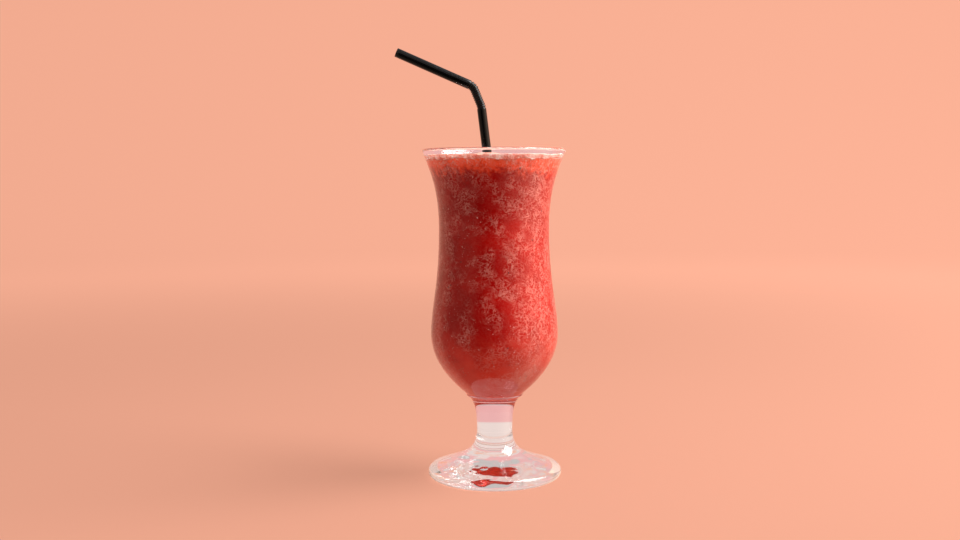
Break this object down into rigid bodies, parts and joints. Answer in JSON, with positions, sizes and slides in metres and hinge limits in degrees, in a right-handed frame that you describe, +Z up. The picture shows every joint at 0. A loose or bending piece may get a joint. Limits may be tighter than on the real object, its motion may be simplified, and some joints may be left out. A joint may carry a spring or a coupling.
{
  "type": "strawberry smoothie",
  "caption": "Icy strawberry smoothie with a thin pale froth, in a clear footed glass with a flared rim, a waist and a rounded bowl, with a bent black straw standing in it.",
  "frame": {"origin": "on the glass's axis, in the plane of the flat ring that its foot stands on", "axes": "+Z up along the glass's axis; the straw leans and bends in the XZ plane, with its mouthpiece towards -X; -Y is the side that faces a viewer who sees the mouthpiece on the left"},
  "size_m": [0.0958, 0.0808, 0.2434],
  "materials": {
    "glass": "clear pressed glass, polished",
    "smoothie": "wet crushed ice and strawberry",
    "froth": "wet pink froth",
    "straw": "glossy black"
  },
  "bodies": {
    "root": {"glass": "glass", "smoothie": "smoothie", "froth": "froth", "straw": "straw"}
  },
  "joints": []
}
